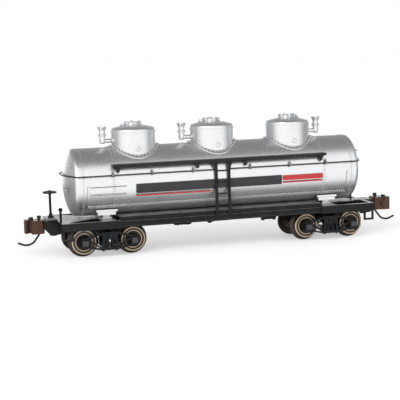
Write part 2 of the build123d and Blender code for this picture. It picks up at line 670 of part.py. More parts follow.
save(tank_barrel(), "tank_barrel")
save(tank_head(), "tank_head_right")
save(end_for_end(tank_head()), "tank_head_left")
save(ballast(), "ballast_weight")
for name, dome_x, valve_side in (
    ("left", -DOME_SPACING, -1), ("centre", 0, -1), ("right", DOME_SPACING, 1),
):
    save(dome(dome_x), f"dome_{name}")
    save(hatch(dome_x, valve_side), f"hatch_{name}")
    save(safety_valve(dome_x, valve_side), f"safety_valve_{name}")
save(walkway(), "walkway_front")
save(end_for_end(walkway()), "walkway_rear")
save(ladder(), "ladder_front")
save(end_for_end(ladder()), "ladder_rear")
posts = [handrail_post(x, side) for x in POST_X for side in SIDES]
save(posts, "handrail_posts")
save(underframe(), "underframe")
save(brake_platform(), "brake_platform")
save(brake_staff(), "brake_staff")
save(brake_wheel(), "brake_wheel")
save(brake_cylinder(), "brake_cylinder")
save(air_reservoir(), "air_reservoir")
save(brake_levers(), "brake_levers")
save([stirrup(end, side) for end in SIDES for side in SIDES], "stirrup_steps")
save([end_post(), end_for_end(end_post())], "end_posts")
save([screw(x * TANK_SCREW_X, 5.2, 10.3, TANK_SCREW_R, 0.95, 0.4) for x in SIDES], "tank_screws")
save([screw(x * BOGIE_X, 3.5, 7.2, KINGPIN_R, 1.1, 0.4) for x in SIDES], "bogie_screws")
save([screw(x * PIVOT_X, 4.35, 7.1, POCKET_SCREW_R, 0.8, 0.4) for x in SIDES], "pocket_screws")
number = 1
for name, end in ENDS:
    save(placed(saddle(), end), f"tank_saddle_{name}")
    save(placed(handrail(), end), f"handrail_{name}")
    save(placed(pocket_lid(), end), f"pocket_lid_{name}")
    save([placed(centring_leaf(side), end) for side in SIDES], f"centring_springs_{name}")
    save(placed(coupler(), end), f"coupler_{name}")
    save(placed(knuckle(), end), f"knuckle_{name}")
    save(placed(trip_pin(), end), f"trip_pin_{name}")
    save(placed(knuckle_pin(), end), f"knuckle_pin_{name}")
    save(bogie_frame(end * BOGIE_X), f"bogie_frame_{name}")
    for offset in (-WHEELBASE / 2, WHEELBASE / 2):
        axle_x = end * BOGIE_X + offset
        save(axle(axle_x), f"axle_{number}")
        save(wheel(axle_x, -1), f"wheel_{number}_front")
        save(wheel(axle_x, 1), f"wheel_{number}_rear")
        number += 1
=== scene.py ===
import math

import bpy
from mathutils import Matrix, Vector

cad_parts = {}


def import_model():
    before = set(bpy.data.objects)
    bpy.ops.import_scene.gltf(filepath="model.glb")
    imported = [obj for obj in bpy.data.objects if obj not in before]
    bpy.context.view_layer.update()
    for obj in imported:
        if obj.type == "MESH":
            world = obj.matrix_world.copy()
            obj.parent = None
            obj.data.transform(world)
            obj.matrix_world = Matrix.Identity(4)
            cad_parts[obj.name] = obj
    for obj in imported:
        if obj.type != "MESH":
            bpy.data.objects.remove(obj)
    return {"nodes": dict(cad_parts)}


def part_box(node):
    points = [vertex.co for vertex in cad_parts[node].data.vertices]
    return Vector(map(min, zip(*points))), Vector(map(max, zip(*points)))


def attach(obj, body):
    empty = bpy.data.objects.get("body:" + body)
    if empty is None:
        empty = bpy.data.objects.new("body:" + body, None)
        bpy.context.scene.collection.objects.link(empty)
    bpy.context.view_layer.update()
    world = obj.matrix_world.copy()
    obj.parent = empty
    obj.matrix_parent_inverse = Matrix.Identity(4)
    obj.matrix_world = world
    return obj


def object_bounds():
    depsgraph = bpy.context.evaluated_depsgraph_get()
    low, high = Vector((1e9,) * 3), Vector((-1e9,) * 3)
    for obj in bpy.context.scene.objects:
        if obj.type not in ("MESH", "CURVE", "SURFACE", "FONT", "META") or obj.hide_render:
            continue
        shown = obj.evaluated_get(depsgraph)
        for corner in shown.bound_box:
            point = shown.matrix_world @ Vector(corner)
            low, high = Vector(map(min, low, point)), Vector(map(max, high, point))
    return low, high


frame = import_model()
cad_lo, cad_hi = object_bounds()

MM = 0.001
UP = Vector((0, 0, 1))
SIDES = (-1, 1)

def middle_x(node):
    """Where the middle of a CAD node is along the wagon."""
    lo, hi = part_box(node)
    return (lo.x + hi.x) / 2


# ---- places taken from the frame ----
barrel_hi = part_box("tank_barrel")[1]
# The barrel's box takes in its ribs, so this radius is 0.2 mm more than that of the sheets, and
# TANK_Z is 0.2 mm below the sheets' centre line: the two cancel out only at the top of the tank.
SHEET_R = barrel_hi.y
TANK_Z = barrel_hi.z - SHEET_R
BARREL_END = barrel_hi.x
PLATE_R = SHEET_R - 0.07 * MM              # end courses, under the middle course and bottom sheet
DOMES = {name: middle_x("dome_" + name) for name in ("left", "centre", "right")}

# ---- other places and sizes ----
COURSE_X = 23.93 * MM                      # seam between the middle and end courses
LAP_Z = 11.1 * MM                          # lower edge of the side sheets
LAP_ANGLE = math.asin((LAP_Z - TANK_Z) / SHEET_R)
DOME_R = 4.92 * MM
DOME_RIM_Z = 26.15 * MM                    # where the rounding of the crown starts
FLANGE_SURFACE_R = SHEET_R + 0.14 * MM
VALVE_OFFSET = 6.85 * MM                   # valve's upright from its dome's centre
RIVET = 0.15 * MM

# In millimetres:
BRACKET_X = (-22.8, -5.4, 5.4, 22.8)       # walkway brackets
BOGIE_X = 25.06                            # bogie centre from the wagon's middle
HALF_WHEELBASE = 5.315
ARCH_BAR_Y = 6.78
FRAME_RIVET_ROWS = (6.5, 7.35)             # heights on the side and end sills


# ---- meshes ----
class Shell:
    """Collects closed shapes into one mesh."""

    def __init__(self):
        self.points = []
        self.faces = []

    def loft(self, rings, loop=False):
        """Skin over rings of equally many points, with flat ends unless it runs back into itself."""
        count = len(rings[0])
        first = len(self.points)
        for ring in rings:
            self.points.extend(ring)
        for i in range(len(rings) if loop else len(rings) - 1):
            a = first + i * count
            b = first + (i + 1) % len(rings) * count
            for k in range(count):
                n = (k + 1) % count
                self.faces.append((a + k, a + n, b + n, b + k))
        if not loop:
            self.faces.append(tuple(first + k for k in reversed(range(count))))
            last = first + (len(rings) - 1) * count
            self.faces.append(tuple(last + k for k in range(count)))

    def turned(self, centre, axis, profile, count, twist=0.0):
        """Lathe shape: profile holds (along the axis, radius) pairs."""
        self.loft([ring(centre + axis * along, axis, r, count, twist) for along, r in profile])

    def tube(self, path, radius, count=8, loop=False):
        """Round bar along a path."""
        rings = []
        last = len(path) - 1
        side = None
        for i, point in enumerate(path):
            before = path[i - 1] if i or loop else point
            after = path[(i + 1) % len(path)] if i < last or loop else point
            along = (after - before).normalized()
            if side is None:
                side = along.orthogonal().normalized()
            side = (side - along * side.dot(along)).normalized()
            other = along.cross(side)
            rings.append([
                point + (side * math.cos(a) + other * math.sin(a)) * radius
                for a in (2 * math.pi * k / count for k in range(count))
            ])
        self.loft(rings, loop)

    def bar(self, lo, hi, chamfer):
        """Box with all its edges chamfered."""
        levels = ((lo.z, chamfer), (lo.z + chamfer, 0), (hi.z - chamfer, 0), (hi.z, chamfer))
        rings = []
        for z, inset in levels:
            x0, x1, y0, y1 = lo.x + inset, hi.x - inset, lo.y + inset, hi.y - inset
            c = chamfer
            rings.append([Vector(p) for p in (
                (x0 + c, y0, z), (x1 - c, y0, z), (x1, y0 + c, z), (x1, y1 - c, z),
                (x1 - c, y1, z), (x0 + c, y1, z), (x0, y1 - c, z), (x0, y0 + c, z),
            )])
        self.loft(rings)

    def rivet(self, foot, normal, radius, height=None):
        """Low round head, sunk a little into what it holds."""
        height = height or radius * 0.75
        profile = (
            (-height * 0.5, radius), (0, radius), (height * 0.62, radius * 0.78), (height, radius * 0.3),
        )
        self.turned(foot, normal, profile, 8)

    def hex_nut(self, foot, normal, radius, height):
        """Six-sided nut with its top edge broken, sunk a little into what it holds."""
        profile = ((-height * 0.2, radius), (height * 0.8, radius), (height, radius * 0.82))
        self.turned(foot, normal, profile, 6, math.pi / 6)

    def build(self, name, material):
        """The Blender object of this mesh, at the origin."""
        mesh = bpy.data.meshes.new(name)
        mesh.from_pydata([tuple(p) for p in self.points], [], self.faces)
        mesh.update()
        mesh.materials.append(material)
        made = bpy.data.objects.new(name, mesh)
        bpy.context.scene.collection.objects.link(made)
        return made

    def piece(self, name, material, body, slot):
        """A smooth-shaded piece of the object that rides on a CAD body."""
        made = self.build(name, material)
        smooth_by_angle(made.data)
        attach(made, body)


def smooth_by_angle(mesh, degrees=40):
    mesh.shade_smooth()
    mesh.set_sharp_from_angle(angle=math.radians(degrees))


def ring(centre, axis, radius, count, twist=0.0):
    """Points round an axis."""
    side = axis.orthogonal().normalized()
    other = axis.cross(side)
    return [
        centre + (side * math.cos(a) + other * math.sin(a)) * radius
        for a in (twist + 2 * math.pi * k / count for k in range(count))
    ]


def on_tank(x, angle, radius):
    """A point on the tank and its outward direction; angle is from the front, up."""
    out = Vector((0, -math.cos(angle), math.sin(angle)))
    return Vector((x, 0, TANK_Z)) + out * radius, out


# ---- materials ----
def link(tree, a, b):
    tree.links.new(a, b)


class Look:
    """A Principled material whose colour, roughness and bump vary over the surface."""

    def __init__(self, name, metallic, roughness, specular=0.5):
        self.material = bpy.data.materials.new(name)
        self.material.use_nodes = True
        self.tree = self.material.node_tree
        self.shader = self.tree.nodes["Principled BSDF"]
        self.shader.inputs["Metallic"].default_value = metallic
        self.shader.inputs["Roughness"].default_value = roughness
        self.shader.inputs["Specular IOR Level"].default_value = specular
        self.place = self.node("ShaderNodeTexCoord").outputs["Object"]

    def node(self, kind, **settings):
        made = self.tree.nodes.new(kind)
        for key, value in settings.items():
            setattr(made, key, value)
        return made

    def noise(self, size, detail=3.0):
        """Noise whose features are about this size, in metres."""
        made = self.node("ShaderNodeTexNoise")
        made.inputs["Scale"].default_value = 1 / size
        made.inputs["Detail"].default_value = detail
        link(self.tree, self.place, made.inputs["Vector"])
        return made.outputs["Fac"]

    def math(self, operation, a, b=0.0):
        made = self.node("ShaderNodeMath", operation=operation)
        for socket, value in zip(made.inputs, (a, b)):
            if isinstance(value, (int, float)):
                socket.default_value = value
            else:
                link(self.tree, value, socket)
        return made.outputs[0]

    def span(self, value, low, high, out_low=0.0, out_high=1.0):
        """Maps low..high of a value to out_low..out_high, with no overshoot."""
        made = self.node("ShaderNodeMapRange")
        link(self.tree, value, made.inputs["Value"])
        for key, number in (
            ("From Min", low), ("From Max", high), ("To Min", out_low), ("To Max", out_high),
        ):
            made.inputs[key].default_value = number
        return made.outputs["Result"]

    def split(self, vector):
        """The X, Y and Z of a vector."""
        made = self.node("ShaderNodeSeparateXYZ")
        link(self.tree, vector, made.inputs[0])
        return made.outputs

    def mix(self, factor, a, b):
        """Colour a where factor is 0, b where it is 1."""
        made = self.node("ShaderNodeMix", data_type="RGBA")
        link(self.tree, factor, made.inputs["Factor"])
        for socket, value in ((made.inputs["A"], a), (made.inputs["B"], b)):
            if isinstance(value, tuple):
                socket.default_value = (*value, 1)
            else:
                link(self.tree, value, socket)
        return made.outputs["Result"]

    def painted_crevice_shade(self, reach, samples, open_at):
        """Mask for painted shade: 1 in corners and round raised details, 0 where the surroundings are at
        least this open.
        """
        made = self.node("ShaderNodeAmbientOcclusion", samples=samples)
        made.inputs["Distance"].default_value = reach
        return self.span(made.outputs["AO"], open_at, 0.3)

    def colour(self, value):
        link(self.tree, value, self.shader.inputs["Base Color"])

    def roughness(self, value):
        link(self.tree, value, self.shader.inputs["Roughness"])

    def bump(self, height, distance, rounding=0.0):
        """Relief from a height; rounding softens moulded edges."""
        made = self.node("ShaderNodeBump")
        made.inputs["Distance"].default_value = distance
        link(self.tree, height, made.inputs["Height"])
        if rounding:
            edge = self.node("ShaderNodeBevel", samples=4)
            edge.inputs["Radius"].default_value = rounding
            link(self.tree, edge.outputs["Normal"], made.inputs["Normal"])
        link(self.tree, made.outputs["Normal"], self.shader.inputs["Normal"])


def shaded(colour, factor):
    """A darker or lighter colour of the same hue."""
    return tuple(c * factor for c in colour)


def silver_paint(name, open_at):
    """Satin aluminium paint: visible flake, a little cloud, and painted shade as dark lines round the
    rivets and laps.
    """
    colour = (0.70, 0.705, 0.715)
    look = Look(name, 0.9, 0.3)
    flake = look.noise(0.16 * MM, 2.0)
    cloud = look.noise(3.5 * MM, 4.0)
    paint = look.mix(look.span(flake, 0.32, 0.68), shaded(colour, 0.9), shaded(colour, 1.08))
    paint = look.mix(look.span(cloud, 0.45, 0.75, 0.0, 0.2), paint, shaded(colour, 0.88))
    # painted shade: near-black mixed in where ambient occlusion finds corners round rivets, laps and seams
    look.colour(look.mix(look.painted_crevice_shade(0.3 * MM, 12, open_at), paint, (0.045, 0.043, 0.042)))
    broad_gloss = look.span(cloud, 0.3, 0.7, 0.26, 0.33)
    look.roughness(look.math("ADD", broad_gloss, look.span(flake, 0.3, 0.7, -0.03, 0.04)))
    look.bump(look.noise(0.2 * MM, 3.0), 0.005 * MM, 0.05 * MM)
    return look.material


def moulded_plastic(name, colour, roughness, grain=0.01 * MM, specular=0.16, top_dust_and_sheen=0.0):
    """Injection-moulded plastic: fine matt grain, soft edges, a little dust; level tops lighter, partly
    dust and partly painted sheen.
    """
    look = Look(name, 0.0, roughness, specular)
    fine = look.noise(0.09 * MM, 3.0)
    broad = look.noise(2.6 * MM, 4.0)
    base = look.mix(look.span(fine, 0.3, 0.7), shaded(colour, 0.75), shaded(colour, 1.3))
    dust = tuple(c + 0.03 for c in colour)
    surface = look.mix(look.span(broad, 0.5, 0.8, 0.0, 0.25), base, dust)
    # level tops lightened towards a grey: partly settled dust, partly painted sheen standing in for the
    # bright reflection such tops catch
    if top_dust_and_sheen:
        facing = look.split(look.node("ShaderNodeNewGeometry").outputs["Normal"])
        level = look.span(facing["Z"], 0.8, 0.97)
        top_dust_and_sheen_mask = look.math("MULTIPLY", level, look.span(broad, 0.3, 0.6, 0.7, 1.0))
        surface = look.mix(top_dust_and_sheen_mask, surface, (top_dust_and_sheen,) * 3)
    look.colour(surface)
    broad_gloss = look.span(broad, 0.3, 0.7, roughness - 0.06, roughness + 0.08)
    look.roughness(look.math("ADD", broad_gloss, look.span(fine, 0.3, 0.7, -0.03, 0.03)))
    look.bump(fine, grain, 0.05 * MM)
    return look.material


def dark_metal(name, colour, metallic, roughness):
    """Blackened or painted wire and pins, rubbed brighter in places."""
    look = Look(name, metallic, roughness)
    streak = look.noise(0.35 * MM, 4.0)
    base = look.mix(look.span(streak, 0.4, 0.75), colour, shaded(colour, 2.2))
    look.colour(base)
    look.roughness(look.span(streak, 0.3, 0.7, roughness - 0.08, roughness + 0.1))
    look.bump(look.noise(0.06 * MM, 2.0), 0.003 * MM)
    return look.material


def wheel_metal(axle_x, axle_z):
    """Browned metal with two bright turned rings on the outer face; painted shade darkens the inner side
    and the hub recess.
    """
    look = Look("wheel_metal_%d" % round(axle_x / MM), 0.75, 0.4)
    parts = look.split(look.place)
    dx = look.math("SUBTRACT", parts["X"], axle_x)
    dz = look.math("SUBTRACT", parts["Z"], axle_z)
    square = look.math("ADD", look.math("MULTIPLY", dx, dx), look.math("MULTIPLY", dz, dz))
    radius = look.math("SQRT", square)
    across = look.math("ABSOLUTE", parts["Y"])
    rim = look.span(radius, 2.34 * MM, 2.42 * MM)
    hub_ring = look.math(
        "MULTIPLY", look.span(radius, 1.72 * MM, 1.78 * MM), look.span(radius, 1.95 * MM, 1.89 * MM),
    )
    face = look.span(across, 5.42 * MM, 5.55 * MM)
    bright = look.math("MULTIPLY", look.math("MAXIMUM", rim, hub_ring), face)
    grain = look.noise(0.07 * MM, 3.0)
    turned = look.node("ShaderNodeTexNoise")
    turned.noise_dimensions = "1D"
    turned.inputs["Scale"].default_value = 1 / (0.05 * MM)
    link(look.tree, radius, turned.inputs["W"])
    bronze = look.mix(look.span(turned.outputs["Fac"], 0.3, 0.7), (0.33, 0.26, 0.19), (0.56, 0.46, 0.35))
    brown = look.mix(look.span(grain, 0.3, 0.7), (0.04, 0.03, 0.023), (0.095, 0.072, 0.055))
    # painted shade: the inner side of the wheel darkened, as it lies in shade under the frame
    inner_side_shade = look.span(across, 4.5 * MM, 3.9 * MM)
    body = look.mix(inner_side_shade, brown, (0.012, 0.009, 0.007))
    # painted shade: the recess round the hub darkened
    near_hub = look.span(radius, 1.6 * MM, 1.5 * MM)
    hub_recess_shade = look.math("MULTIPLY", near_hub, look.span(across, 5.4 * MM, 5.3 * MM))
    body = look.mix(hub_recess_shade, body, (0.02, 0.015, 0.012))
    look.colour(look.mix(bright, body, bronze))
    look.roughness(look.span(turned.outputs["Fac"], 0.3, 0.7, 0.26, 0.42))
    look.bump(turned.outputs["Fac"], 0.004 * MM, 0.03 * MM)
    return look.material


def printed_ink(name, colour):
    """Pad-printed ink, with thin spots."""
    look = Look(name, 0.0, 0.45)
    thin = look.noise(0.16 * MM, 4.0)
    look.colour(look.mix(look.span(thin, 0.58, 0.8, 0.0, 0.35), colour, (0.45, 0.45, 0.46)))
    look.roughness(look.span(thin, 0.3, 0.7, 0.4, 0.55))
    look.bump(thin, 0.003 * MM)
    return look.material


def bare_metal(name, colour, roughness):
    """Unpainted metal, scuffed in patches."""
    look = Look(name, 1.0, roughness)
    scuff = look.noise(0.4 * MM, 5.0)
    look.colour(look.mix(look.span(scuff, 0.35, 0.7), shaded(colour, 0.7), shaded(colour, 1.15)))
    look.roughness(look.span(scuff, 0.3, 0.7, roughness - 0.08, roughness + 0.12))
    look.bump(look.noise(0.08 * MM, 3.0), 0.004 * MM)
    return look.material


SILVER = silver_paint("silver_paint", 0.78)
RIVET_SILVER = silver_paint("rivet_paint", 0.97)      # painted shade gathers thicker round the rivet heads
# black and walkway plastics: their level tops lightened, partly dust and partly painted sheen
BLACK = moulded_plastic("black_plastic", (0.009, 0.009, 0.010), 0.3, top_dust_and_sheen=0.26)
BOGIE_BLACK = moulded_plastic("bogie_plastic", (0.008, 0.009, 0.011), 0.34)
BOARD_GREY = moulded_plastic("walkway_plastic", (0.02, 0.0195, 0.0195), 0.4, top_dust_and_sheen=0.12)
# journal lids: a lighter grey that is painted light, the front-lit face of each journal box against the
# black bogie
LID_LIT_GREY = moulded_plastic("journal_lid", (0.035, 0.036, 0.042), 0.36, 0.02 * MM, specular=0.4)
COUPLER_BROWN = moulded_plastic("coupler_plastic", (0.055, 0.023, 0.011), 0.3, specular=0.3)
AXLE_BLACK = moulded_plastic("axle_plastic", (0.010, 0.009, 0.008), 0.45)
POST_GREY = dark_metal("post_paint", (0.16, 0.16, 0.165), 0.6, 0.38)
RAIL_DARK = dark_metal("rail_wire", (0.03, 0.022, 0.018), 0.3, 0.45)
PIN_BLACK = dark_metal("pin_steel", (0.018, 0.018, 0.02), 0.7, 0.32)
SCREW_STEEL = bare_metal("screw_steel", (0.12, 0.12, 0.125), 0.4)
BALLAST_STEEL = bare_metal("ballast_steel", (0.4, 0.4, 0.41), 0.45)
BRONZE = bare_metal("spring_bronze", (0.62, 0.38, 0.18), 0.3)
INK_BLACK = printed_ink("ink_black", (0.012, 0.012, 0.014))
INK_RED = printed_ink("ink_red", (0.45, 0.018, 0.02))

# The first prefix that fits a node's name counts; every other node is BLACK.
BY_PREFIX = (
    ("walkway", BOARD_GREY), ("handrail_posts", POST_GREY), ("handrail", RAIL_DARK),
    ("bogie_frame", BOGIE_BLACK), ("axle", AXLE_BLACK), ("coupler", COUPLER_BROWN),
    ("knuckle_pin", PIN_BLACK), ("knuckle", COUPLER_BROWN), ("trip_pin", PIN_BLACK),
    ("centring", BRONZE), ("ballast", BALLAST_STEEL), ("tank_screws", SCREW_STEEL),
    ("bogie_screws", SCREW_STEEL), ("pocket_screws", SCREW_STEEL), ("tank", SILVER),
    ("dome", SILVER), ("hatch", SILVER), ("safety_valve", SILVER),
)


def finish_for(node):
    """The material that a CAD node gets."""
    if node.startswith("wheel_"):
        lo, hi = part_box(node)
        return wheel_metal(middle_x(node), (lo.z + hi.z) / 2)
    for prefix, material in BY_PREFIX:
        if node.startswith(prefix):
            return material
    return BLACK


for name, shown in frame["nodes"].items():
    shown.data.materials.clear()
    shown.data.materials.append(finish_for(name))


# ---- rivets, bolts and small fittings on the tank ----
def around(count):
    """Evenly spaced angles round a circle."""
    return [2 * math.pi * k / count for k in range(count)]


def barrel_r(x, angle):
    """Radius that rivets and stripes are set on at a place on the tank."""
    return SHEET_R if abs(x) < COURSE_X or angle < LAP_ANGLE else PLATE_R


def barrel_rivets():
    """Seams round the courses and heads, and a close row above each bottom-sheet lap."""
    rivets = Shell()
    edge_inset = 0.35 * MM
    for seam in (COURSE_X - edge_inset, BARREL_END - edge_inset):
        for x in (-seam, seam):
            for angle in around(84):
                lean = math.asin(math.sin(angle))
                foot, out = on_tank(x, angle, barrel_r(x, lean))
                rivets.rivet(foot, out, 0.11 * MM, 0.06 * MM)
    pitch = 0.52 * MM
    count = int((BARREL_END - 0.9 * MM) / pitch)
    for row, shift in ((math.radians(2.4), 0), (math.radians(5.4), pitch / 2)):
        for angle in (LAP_ANGLE - row, math.pi - LAP_ANGLE + row):
            for k in range(-count, count):
                foot, out = on_tank(k * pitch + shift, angle, SHEET_R)
                rivets.rivet(foot, out, RIVET, 0.17 * MM)
    rivets.piece("barrel_rivets", RIVET_SILVER, "wagon", "silver_body")


def dome_rivets():
    """A row on each flange and a finer one below each rim."""
    flange_row = DOME_R + 0.33 * MM
    for name, centre in DOMES.items():
        rivets = Shell()
        for angle in around(40):
            x, y = flange_row * math.cos(angle), flange_row * math.sin(angle)
            rise = math.sqrt(FLANGE_SURFACE_R ** 2 - y * y)
            out = Vector((0, y, rise)).normalized()
            rivets.rivet(Vector((centre + x, y, TANK_Z + rise)), out, RIVET * 1.25, 0.2 * MM)
        for angle in around(36):
            out = Vector((math.cos(angle), math.sin(angle), 0))
            foot = Vector((centre, 0, DOME_RIM_Z - 0.3 * MM)) + out * DOME_R
            rivets.rivet(foot, out, RIVET * 0.8)
        rivets.piece("dome_rivets_" + name, RIVET_SILVER, "wagon", "silver_body")


def dome_ring(name):
    """Small cast ring on the front and back of a dome."""
    ring_z, radius = 22.35 * MM, 0.44 * MM
    rings = Shell()
    for side in SIDES:
        path = []
        for a in around(20):
            x = radius * math.cos(a)
            y = side * math.sqrt(DOME_R ** 2 - x * x)
            path.append(Vector((DOMES[name] + x, y, ring_z + radius * math.sin(a))))
        rings.tube(path, 0.1 * MM, 6, loop=True)
    rings.piece("dome_ring_" + name, RIVET_SILVER, "wagon", "silver_body")


def hatch_nuts(name):
    """Nuts on the swing bolts and a lifting loop on the lid."""
    lug_r, lug_top = 1.75 * MM, 28.08 * MM
    nuts = Shell()
    for k in range(6):
        angle = math.radians(30 + 60 * k)
        foot = Vector((DOMES[name] + lug_r * math.cos(angle), lug_r * math.sin(angle), lug_top - 0.24 * MM))
        nuts.hex_nut(foot, UP, 0.33 * MM, 0.2 * MM)
    loop_r, lid_top = 0.36 * MM, 27.93 * MM
    arch = [
        Vector((DOMES[name] + loop_r * math.cos(a), 0, lid_top - 0.26 * MM + loop_r * math.sin(a)))
        for a in (math.pi * k / 10 for k in range(11))
    ]
    nuts.tube(arch, 0.07 * MM)
    nuts.piece("hatch_nuts_" + name, SILVER, "wagon", "silver_body")


def valve_bolts(name):
    """Bolts through the ring of a safety valve."""
    side = -1 if middle_x("safety_valve_" + name) < DOMES[name] else 1
    ring_top, bolt_circle = 25.38 * MM, 0.78
    centre = Vector((DOMES[name] + side * VALVE_OFFSET, 0, ring_top))
    bolts = Shell()
    for angle in around(6):
        out = Vector((math.cos(angle), math.sin(angle), 0))
        bolts.hex_nut(centre + out * bolt_circle * MM, UP, 0.13 * MM, 0.12 * MM)
    bolts.piece("valve_bolts_" + name, SILVER, "wagon", "silver_body")


def head_fittings(name, end):
    """Placard holder low on a tank head, and two round heads higher up."""
    fittings = Shell()
    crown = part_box("tank_head_" + name)[0 if end < 0 else 1].x
    out = Vector((end, 0, 0))
    for y, z, back in ((-4.6, 19.4, 0.75), (-3.7, 19.4, 0.62)):
        fittings.rivet(Vector((crown - end * back * MM, y * MM, z * MM)), out, 0.2 * MM)
    x0, x1 = sorted((crown - end * 0.3 * MM, crown - end * 0.05 * MM))
    fittings.bar(Vector((x0, -2.6 * MM, 14.0 * MM)), Vector((x1, -1.4 * MM, 14.25 * MM)), 0.04 * MM)
    fittings.piece("head_fittings_" + name, SILVER, "wagon", "silver_body")


def curved_strip(shell, x0, x1, low, high, radius, thick=0.015 * MM):
    """Thin slab on the tank between two angles."""
    steps = max(2, int((high - low) / math.radians(3)))
    rings = []
    for k in range(steps + 1):
        angle = low + (high - low) * k / steps
        rings.append([on_tank(x, angle, r)[0] for x, r in (
            (x0, radius - thick), (x1, radius - thick), (x1, radius + thick), (x0, radius + thick),
        )])
    shell.loft(rings)


def markings():
    """Plain stripes and a blank ruled panel on both sides, in place of any lettering."""
    black, red = Shell(), Shell()
    # from and to along the wagon in mm, lower and upper edge in degrees above the tank's middle
    stripes = (
        (black, -19.0, 13.6, -16.5, -1.0), (red, -19.0, -2.5, -21.6, -19.6),
        (red, 13.9, 23.2, -10.2, -2.0), (red, 13.9, 23.2, -14.8, -12.8),
        (black, -28.8, -23.95, -3.6, -2.9), (black, -23.9, -21.1, -3.6, -2.9),
        (black, -28.8, -23.95, -16.6, -15.9), (black, -23.9, -21.1, -16.6, -15.9),
    )
    for shell, x0, x1, low, high in stripes:
        x0, x1, low, high = x0 * MM, x1 * MM, math.radians(low), math.radians(high)
        radius = barrel_r((x0 + x1) / 2, 0)
        curved_strip(shell, x0, x1, low, high, radius)
        curved_strip(shell, -x1, -x0, math.pi - high, math.pi - low, radius)
    black.piece("stripes_black", INK_BLACK, "wagon", "silver_body")
    red.piece("stripes_red", INK_RED, "wagon", "silver_body")


# ---- small fittings on the frame ----
def walkway_fittings(name, side):
    """Two planks on the walkway, with bolts over the brackets and along the edge."""
    lo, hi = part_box("walkway_" + name)
    top, edge = hi.z, max(abs(lo.y), abs(hi.y))
    planks, bolts = Shell(), Shell()
    for near, far in ((edge - 0.03 * MM, edge - 0.83 * MM), (edge - 0.9 * MM, edge - 1.7 * MM)):
        y0, y1 = sorted((side * near, side * far))
        plank_lo = Vector((lo.x + 0.03 * MM, y0, top - 0.03 * MM))
        plank_hi = Vector((hi.x - 0.03 * MM, y1, top + 0.04 * MM))
        planks.bar(plank_lo, plank_hi, 0.02 * MM)
    out = Vector((0, side, 0))
    for x in BRACKET_X:
        for shift in (-0.3, 0.3):
            foot = Vector(((x + shift) * MM, side * edge, top - 0.4 * MM))
            bolts.rivet(foot, out, 0.11 * MM, 0.05 * MM)
        bolts.rivet(Vector((x * MM, side * 7.5 * MM, top - 1.35 * MM)), out, 0.14 * MM)
        bolts.rivet(Vector((x * MM, side * (edge - 0.43 * MM), top + 0.04 * MM)), UP, 0.13 * MM)
    planks.piece("walkway_planks_" + name, BOARD_GREY, "wagon", "black_frame")
    bolts.piece("walkway_bolts_" + name, BLACK, "wagon", "black_frame")


def ladder_bolts(name, side):
    """Rung ends and foot bolts of a ladder."""
    bolts = Shell()
    out = Vector((0, side, 0))
    stile_x, face_y = 1.43, 7.8
    for stile in SIDES:
        for z in (17.03, 14.55, 12.06, 9.57, 8.0):
            bolts.rivet(Vector((stile * stile_x, side * face_y, z)) * MM, out, 0.12 * MM)
    bolts.piece("ladder_bolts_" + name, BLACK, "wagon", "black_frame")


def frame_rivets():
    """Rivets where the bolsters, crossbearers and end sills meet the side sills, and on the pockets."""
    rivets = Shell()
    radius = 0.13 * MM
    sill_y, mid_sill_y, frame_end, pocket_y = 7.9, 7.45, 35.25, 2.0
    for side in SIDES:
        out = Vector((0, side, 0))
        for end in SIDES:
            for x in (23.3, 24.1, 26.0, 26.8, 30.0, 33.6, 34.7):
                for z in FRAME_RIVET_ROWS:
                    rivets.rivet(Vector((end * x, side * sill_y, z)) * MM, out, radius, 0.06 * MM)
            for x in (5.2, 17.65):
                for shift in (-0.5, 0.5):
                    rivets.rivet(Vector((end * x + shift, side * mid_sill_y, 6.85)) * MM, out, radius)
            for y in (2.6, 3.3, 6.6, 7.4):
                for z in FRAME_RIVET_ROWS:
                    foot = Vector((end * frame_end, side * y, z)) * MM
                    rivets.rivet(foot, Vector((end, 0, 0)), radius, 0.06 * MM)
            for x in (35.7, 36.4, 37.1):
                rivets.rivet(Vector((end * x, side * pocket_y, 7.3)) * MM, out, radius)
    rivets.piece("frame_rivets", BLACK, "wagon", "black_frame")


def brake_fittings():
    """Planks on the platform, the nut over the brake wheel, and bolts on the brake gear."""
    planks = Shell()
    for k in range(3):
        x0 = -37.46 + 0.74 * k
        planks.bar(Vector((x0, -2.57, 7.97)) * MM, Vector((x0 + 0.7, 4.57, 8.04)) * MM, 0.02 * MM)
    planks.piece("platform_planks", BLACK, "wagon", "black_frame")
    bolts = Shell()
    bolts.hex_nut(Vector((-36.1, 1.7, 13.78)) * MM, UP, 0.26 * MM, 0.2 * MM)
    axis_y, axis_z, bolt_circle = -4.1, 6.15, 1.08
    for x, out in ((9.9, -1), (12.85, 1)):
        for angle in around(6):
            y, z = axis_y + bolt_circle * math.cos(angle), axis_z + bolt_circle * math.sin(angle)
            foot = Vector((x, y, z)) * MM
            bolts.hex_nut(foot, Vector((out, 0, 0)), 0.1 * MM, 0.1 * MM)
    bolts.piece("brake_bolts", BLACK, "wagon", "black_frame")


